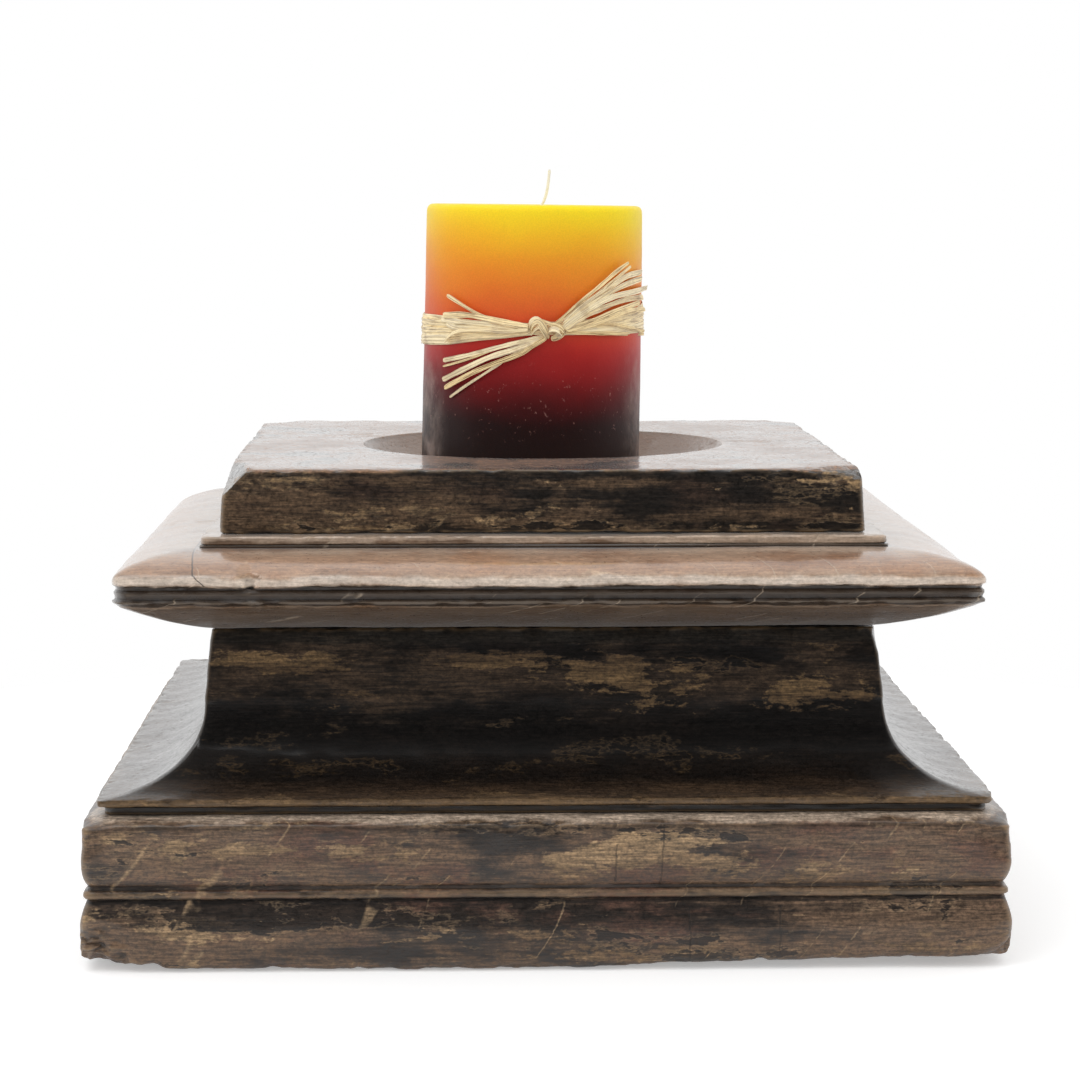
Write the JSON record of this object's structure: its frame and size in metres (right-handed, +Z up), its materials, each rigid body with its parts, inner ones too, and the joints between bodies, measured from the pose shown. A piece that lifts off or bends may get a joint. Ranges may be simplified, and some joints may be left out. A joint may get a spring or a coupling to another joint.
{
  "type": "candle stand",
  "caption": "Square moulded wooden pillar base with a turned dish in its top, used as a stand for a banded pillar candle tied with raffia.",
  "frame": {"origin": "middle of the underside of the base block, on the surface that it stands on", "axes": "+Z up, the front with the raffia knot faces -Y, +X to the right seen from the front"},
  "size_m": [0.2906, 0.2906, 0.2492],
  "materials": {
    "base_block_wood": "dark brown varnish worn through to tan wood in streaks, scratched",
    "neck_block_wood": "dark brown varnish flaked off in tan patches",
    "moulding_board_wood": "red-brown varnish, glossy on the rounded top, rubbed pale on its arrises",
    "top_slab_wood": "glossy brown varnish above, dark worn varnish with tan streaks on the edges",
    "dowel_wood": "bare planed hardwood",
    "wax": "smooth wax, yellow at the top through orange and red to near black at the foot, with a pale bloom",
    "cotton": "braided waxed cotton",
    "raffia": "dry fibrous palm-leaf strips"
  },
  "bodies": {
    "stand": {"base_block": "base_block_wood", "neck_block": "neck_block_wood", "moulding_board": "moulding_board_wood", "top_slab": "top_slab_wood", "base_dowel_1": "dowel_wood", "base_dowel_2": "dowel_wood", "base_dowel_3": "dowel_wood", "base_dowel_4": "dowel_wood", "neck_dowel_1": "dowel_wood", "neck_dowel_2": "dowel_wood", "neck_dowel_3": "dowel_wood", "neck_dowel_4": "dowel_wood", "slab_dowel_1": "dowel_wood", "slab_dowel_2": "dowel_wood", "slab_dowel_3": "dowel_wood", "slab_dowel_4": "dowel_wood"},
    "candle": {"candle_wax": "wax", "wick": "cotton", "raffia_band": "raffia", "raffia_knot": "raffia", "raffia_tail_upper_left": "raffia", "raffia_tail_left": "raffia", "raffia_tail_lower_left": "raffia", "raffia_tail_right": "raffia", "raffia_tail_upper_right": "raffia"}
  },
  "joints": [
    {"name": "candle_lift", "type": "slide", "parent": "stand", "child": "candle", "axis": [0, 0, 1], "range_m": [0, 0.05]}
  ]
}
